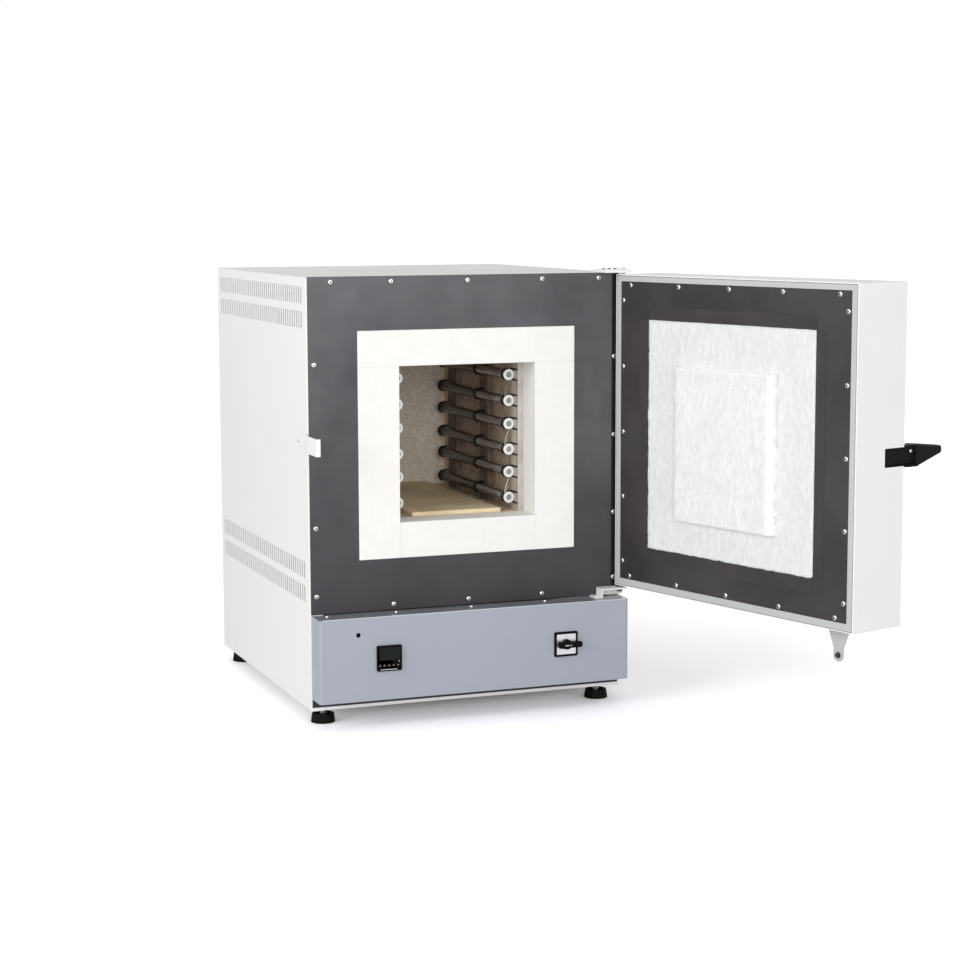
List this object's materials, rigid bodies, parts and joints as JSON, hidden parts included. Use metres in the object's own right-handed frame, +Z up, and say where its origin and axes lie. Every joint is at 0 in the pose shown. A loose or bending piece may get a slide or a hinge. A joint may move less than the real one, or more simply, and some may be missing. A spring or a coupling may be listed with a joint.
{
  "type": "muffle furnace",
  "caption": "bench muffle furnace: folded white casing with side vents, fibre-lined chamber with side heater tubes, side-hung door with a plug, controller and rotary switch",
  "frame": {"origin": "on the floor, under the middle of the front plate's face", "axes": "+X to the right seen from the front, +Y to the back, +Z up"},
  "size_m": [1.0059, 1.2922, 0.8458],
  "materials": {
    "casing_white": "fine white powder coat, slightly satin",
    "plate_dark": "dark grey satin heat-proof paint",
    "panel_blue": "light blue-grey satin paint",
    "ledge_grey": "mid grey satin paint with some gloss",
    "galvanised": "galvanised sheet",
    "screw_steel": "bright zinc-plated steel",
    "fibre_white": "smooth vacuum-formed white fibre board",
    "fibre_board": "fired ceramic fibre board, mottled",
    "quartz_tube": "smoky silica tube with a coil inside",
    "coil_wire": "oxidised resistance wire",
    "ring_white": "white ceramic",
    "support_brown": "brown fired ceramic strip",
    "clip_dark": "dark oxidised wire",
    "hearth_tan": "tan fired ceramic plate",
    "black_plastic": "black moulded plastic, fine grain",
    "window_dark": "dark green-black display window",
    "key_grey": "dark grey soft keys",
    "foot_black": "black levelling foot"
  },
  "bodies": {
    "cabinet": {"side_panel_left": "casing_white", "side_panel_right": "casing_white", "top_cover": "casing_white", "rear_panel": "casing_white", "base_tray": "casing_white", "chassis_frame": "galvanised", "inner_casing": "galvanised", "front_plate": "plate_dark", "front_plate_screws": "screw_steel", "casing_screws": "screw_steel", "collar_top": "fibre_white", "collar_bottom": "fibre_white", "collar_left": "fibre_white", "collar_right": "fibre_white", "chamber_wall_left": "fibre_board", "chamber_wall_right": "fibre_board", "chamber_roof": "fibre_board", "chamber_floor": "fibre_board", "chamber_back": "fibre_board", "heater_tubes": "quartz_tube", "heater_coils": "coil_wire", "tube_end_rings": "ring_white", "tube_supports": "support_brown", "tube_clips": "clip_dark", "hearth_plates": "hearth_tan", "thermocouple": "ring_white", "control_panel": "panel_blue", "panel_ledge": "ledge_grey", "controller_body": "black_plastic", "controller_window": "window_dark", "switch_frame": "black_plastic", "switch_body": "black_plastic", "door_switch_body": "black_plastic", "hinge_bracket_top": "casing_white", "hinge_bracket_bottom": "casing_white", "strike": "casing_white", "cable_gland": "black_plastic", "power_relay": "black_plastic"},
    "door": {"door_shell": "casing_white", "door_inner_panel": "plate_dark", "door_panel_screws": "screw_steel", "door_block": "fibre_white", "door_backing": "fibre_board", "hinge_pins": "screw_steel", "switch_bracket": "casing_white", "switch_pin": "clip_dark", "latch_bracket": "black_plastic", "latch_pin": "screw_steel"},
    "latch": {"latch_lever": "black_plastic"},
    "main_switch": {"switch_knob": "black_plastic"},
    "door_switch": {"door_switch_plunger": "screw_steel"},
    "key_1": {"controller_key_1": "key_grey"},
    "key_2": {"controller_key_2": "key_grey"},
    "key_3": {"controller_key_3": "key_grey"},
    "key_4": {"controller_key_4": "key_grey"},
    "key_5": {"controller_key_5": "key_grey"},
    "foot_front_left": {"foot_front_left": "foot_black"},
    "foot_front_right": {"foot_front_right": "foot_black"},
    "foot_back_left": {"foot_back_left": "foot_black"},
    "foot_back_right": {"foot_back_right": "foot_black"}
  },
  "joints": [
    {"name": "door_hinge", "type": "hinge", "parent": "cabinet", "child": "door", "pos_m": [0.3085, -0.013, 0.53], "axis": [0, 0, 1], "range_deg": [-106.24, 24]},
    {"name": "latch_turn", "type": "hinge", "parent": "door", "child": "latch", "pos_m": [0.59993, -0.56294, 0.53], "axis": [0, 0, 1], "range_deg": [0, 5]},
    {"name": "main_switch_turn", "type": "hinge", "parent": "cabinet", "child": "main_switch", "pos_m": [0.1788, -0.0534, 0.1304], "axis": [0, -1, 0], "range_deg": [0, 90]},
    {"name": "door_switch_push", "type": "slide", "parent": "cabinet", "child": "door_switch", "axis": [0, 1, 0], "range_m": [0, 0.003], "stiffness_N_per_m": 300},
    {"name": "key_1_push", "type": "slide", "parent": "cabinet", "child": "key_1", "axis": [0, 1, 0], "range_m": [0, 0.0005], "stiffness_N_per_m": 600},
    {"name": "key_2_push", "type": "slide", "parent": "cabinet", "child": "key_2", "axis": [0, 1, 0], "range_m": [0, 0.0005], "stiffness_N_per_m": 600},
    {"name": "key_3_push", "type": "slide", "parent": "cabinet", "child": "key_3", "axis": [0, 1, 0], "range_m": [0, 0.0005], "stiffness_N_per_m": 600},
    {"name": "key_4_push", "type": "slide", "parent": "cabinet", "child": "key_4", "axis": [0, 1, 0], "range_m": [0, 0.0005], "stiffness_N_per_m": 600},
    {"name": "key_5_push", "type": "slide", "parent": "cabinet", "child": "key_5", "axis": [0, 1, 0], "range_m": [0, 0.0005], "stiffness_N_per_m": 600},
    {"name": "foot_front_left_turn", "type": "hinge", "parent": "cabinet", "child": "foot_front_left", "pos_m": [-0.28, 0.037, 0.03], "axis": [0, 0, 1], "continuous": true},
    {"name": "foot_front_right_turn", "type": "hinge", "parent": "cabinet", "child": "foot_front_right", "pos_m": [0.28, 0.037, 0.03], "axis": [0, 0, 1], "continuous": true},
    {"name": "foot_back_left_turn", "type": "hinge", "parent": "cabinet", "child": "foot_back_left", "pos_m": [-0.28, 0.629, 0.03], "axis": [0, 0, 1], "continuous": true},
    {"name": "foot_back_right_turn", "type": "hinge", "parent": "cabinet", "child": "foot_back_right", "pos_m": [0.28, 0.629, 0.03], "axis": [0, 0, 1], "continuous": true}
  ]
}
